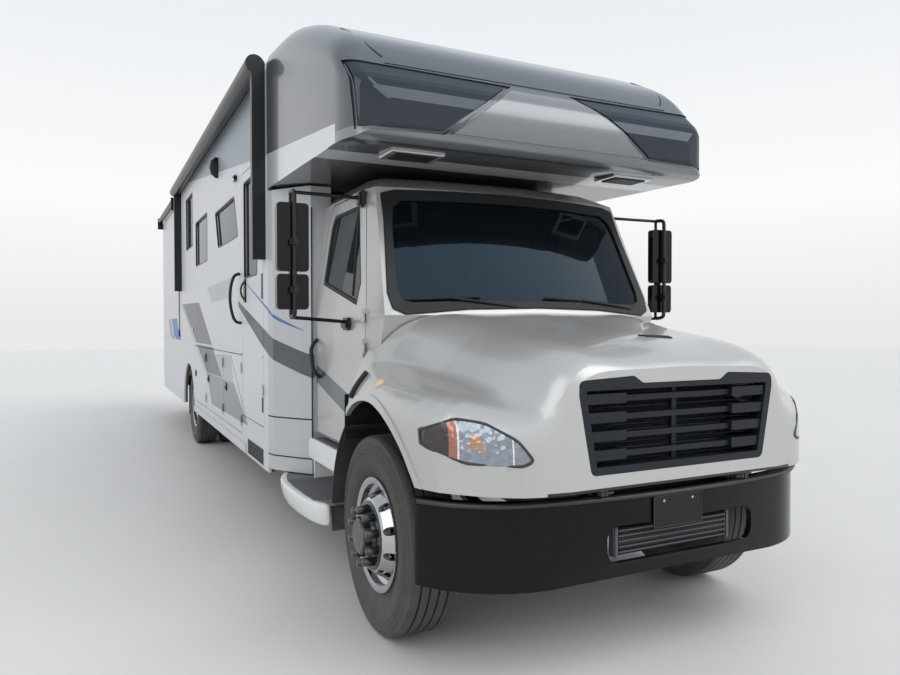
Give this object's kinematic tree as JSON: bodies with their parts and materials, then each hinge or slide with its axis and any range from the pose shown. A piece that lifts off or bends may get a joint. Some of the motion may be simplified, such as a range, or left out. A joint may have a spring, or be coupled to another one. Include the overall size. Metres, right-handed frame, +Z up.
{
  "type": "over-cab motorhome on a conventional truck chassis",
  "caption": "Box-bodied motorhome with a truck cab, tilting hood, over-cab bunk, twin rear wheels, opening doors and a slide-out room.",
  "frame": {"origin": "middle of the bounding box, on the floor the tyres stand on", "axes": "+Z up, -Y to the front, +X to the driver's side"},
  "size_m": [3.036, 12.12, 3.925],
  "materials": {
    "silver_paint": "pearl silver metallic, clear coat",
    "silver_gelcoat": "silver grey gelcoat",
    "coach_paint": "gloss white with grey stripes",
    "white_moulding": "white moulded fibreglass",
    "roof_sheet": "matt white roof sheet",
    "floor_ply": "sealed plywood and vinyl",
    "bay_lining": "sheet lined boxes",
    "black_gloss": "gloss black",
    "black_trim": "satin black",
    "grille_grey": "charcoal moulding",
    "frame_black": "chassis black",
    "engine_grey": "painted castings",
    "tank_metal": "mill finish",
    "exhaust_steel": "heat dulled steel",
    "radiator_core": "finned core",
    "wheel_metal": "polished",
    "tyre_rubber": "road tyre",
    "flap_rubber": "black rubber",
    "clear_glass": "lightly tinted",
    "dark_glass": "dark tinted",
    "lamp_lens": "clear lens",
    "tail_lens": "red lens",
    "dash_plastic": "grained grey",
    "seat_cloth": "woven grey"
  },
  "bodies": {
    "chassis": {"air_conditioners": "white_moulding", "awning": "black_trim", "cab_fillers": "silver_gelcoat", "cab_seats": "seat_cloth", "cab_shell": "silver_paint", "cab_steps": "white_moulding", "coach_floor": "floor_ply", "coach_roof": "roof_sheet", "coach_windows": "dark_glass", "crossmembers": "frame_black", "dashboard": "dash_plastic", "exhaust": "exhaust_steel", "frame_rails": "frame_black", "front_axle": "frame_black", "front_bumper": "black_gloss", "fuel_tank": "tank_metal", "ladder": "tank_metal", "louvred_panel": "black_trim", "mud_flaps": "flap_rubber", "overcab_cap": "silver_gelcoat", "powertrain": "engine_grey", "radiator": "radiator_core", "rear_axle": "frame_black", "rear_bumper": "black_trim", "rear_wall": "coach_paint", "side_wall_left": "coach_paint", "side_wall_right": "coach_paint", "springs": "frame_black", "storage_bays": "bay_lining", "tail_lamps": "tail_lens", "windshield": "clear_glass"},
    "hood": {"hood": "silver_paint", "grille": "grille_grey", "headlamps": "lamp_lens"},
    "tie_rod": {"tie_rod": "frame_black"},
    "entry_door": {"entry_door": "coach_paint", "entry_door_glass": "dark_glass"},
    "slide_out": {"slide_out": "coach_paint", "slide_topper": "black_trim"},
    "cab_door_right": {"cab_door_right": "silver_paint", "door_glass_right": "clear_glass", "mirror_right": "black_trim"},
    "knuckle_right": {"knuckle_right": "frame_black"},
    "front_wheel_right": {"front_wheel_right": "wheel_metal", "front_tyre_right": "tyre_rubber"},
    "rear_wheels_right": {"rear_wheels_right": "wheel_metal", "rear_tyres_right": "tyre_rubber"},
    "cab_door_left": {"cab_door_left": "silver_paint", "door_glass_left": "clear_glass", "mirror_left": "black_trim"},
    "knuckle_left": {"knuckle_left": "frame_black"},
    "front_wheel_left": {"front_wheel_left": "wheel_metal", "front_tyre_left": "tyre_rubber"},
    "rear_wheels_left": {"rear_wheels_left": "wheel_metal", "rear_tyres_left": "tyre_rubber"},
    "storage_door_right_1": {"storage_door_right_1": "coach_paint"},
    "storage_door_right_2": {"storage_door_right_2": "coach_paint"},
    "storage_door_right_3": {"storage_door_right_3": "coach_paint"},
    "storage_door_left_1": {"storage_door_left_1": "coach_paint"},
    "storage_door_left_2": {"storage_door_left_2": "coach_paint"}
  },
  "joints": [
    {"name": "steer_right", "type": "hinge", "parent": "chassis", "child": "knuckle_right", "pos_m": [-0.85, -4.995, 0.525], "axis": [0, 0, 1], "range_deg": [-45, 45]},
    {"name": "spin_front_right", "type": "hinge", "parent": "knuckle_right", "child": "front_wheel_right", "pos_m": [-1.0255, -4.995, 0.525], "axis": [1, 0, 0], "continuous": true},
    {"name": "spin_rear_right", "type": "hinge", "parent": "chassis", "child": "rear_wheels_right", "pos_m": [-0.915, 2.015, 0.525], "axis": [1, 0, 0], "continuous": true},
    {"name": "open_cab_door_right", "type": "hinge", "parent": "chassis", "child": "cab_door_right", "pos_m": [-1.046, -4.543, 1.5], "axis": [0, 0, 1], "range_deg": [0, 70]},
    {"name": "steer_left", "type": "hinge", "parent": "chassis", "child": "knuckle_left", "pos_m": [0.85, -4.995, 0.525], "axis": [0, 0, 1], "range_deg": [-45, 45]},
    {"name": "spin_front_left", "type": "hinge", "parent": "knuckle_left", "child": "front_wheel_left", "pos_m": [1.0255, -4.995, 0.525], "axis": [1, 0, 0], "continuous": true},
    {"name": "spin_rear_left", "type": "hinge", "parent": "chassis", "child": "rear_wheels_left", "pos_m": [0.915, 2.015, 0.525], "axis": [1, 0, 0], "continuous": true},
    {"name": "open_cab_door_left", "type": "hinge", "parent": "chassis", "child": "cab_door_left", "pos_m": [1.046, -4.543, 1.5], "axis": [0, 0, -1], "range_deg": [0, 70]},
    {"name": "open_storage_door_right_1", "type": "hinge", "parent": "chassis", "child": "storage_door_right_1", "pos_m": [-1.2945, -1.969, 1.022], "axis": [0, 0, 1], "range_deg": [0, 110]},
    {"name": "open_storage_door_right_2", "type": "hinge", "parent": "chassis", "child": "storage_door_right_2", "pos_m": [-1.2945, -0.939, 1.022], "axis": [0, 0, 1], "range_deg": [0, 110]},
    {"name": "open_storage_door_right_3", "type": "hinge", "parent": "chassis", "child": "storage_door_right_3", "pos_m": [-1.2945, 0.291, 1.022], "axis": [0, 0, 1], "range_deg": [0, 110]},
    {"name": "open_storage_door_left_1", "type": "hinge", "parent": "chassis", "child": "storage_door_left_1", "pos_m": [1.2945, -1.299, 1.022], "axis": [0, 0, -1], "range_deg": [0, 110]},
    {"name": "open_storage_door_left_2", "type": "hinge", "parent": "chassis", "child": "storage_door_left_2", "pos_m": [1.2945, -0.109, 1.022], "axis": [0, 0, -1], "range_deg": [0, 110]},
    {"name": "open_entry_door", "type": "hinge", "parent": "chassis", "child": "entry_door", "pos_m": [-1.2945, -2.887, 1.9], "axis": [0, 0, 1], "range_deg": [0, 90]},
    {"name": "tilt_hood", "type": "hinge", "parent": "chassis", "child": "hood", "pos_m": [0, -6.025, 0.886], "axis": [1, 0, 0], "range_deg": [0, 70]},
    {"name": "extend_slide_out", "type": "slide", "parent": "chassis", "child": "slide_out", "axis": [-1, 0, 0], "range_m": [0, 0.7]},
    {"name": "swing_tie_rod", "type": "hinge", "parent": "knuckle_left", "child": "tie_rod", "pos_m": [0.85, -4.815, 0.44], "axis": [0, 0, 1], "range_deg": [-45, 45]}
  ],
  "couplings": [
    {"joint": "steer_right", "follows": "steer_left", "ratio": 1},
    {"joint": "swing_tie_rod", "follows": "steer_left", "ratio": -1}
  ]
}
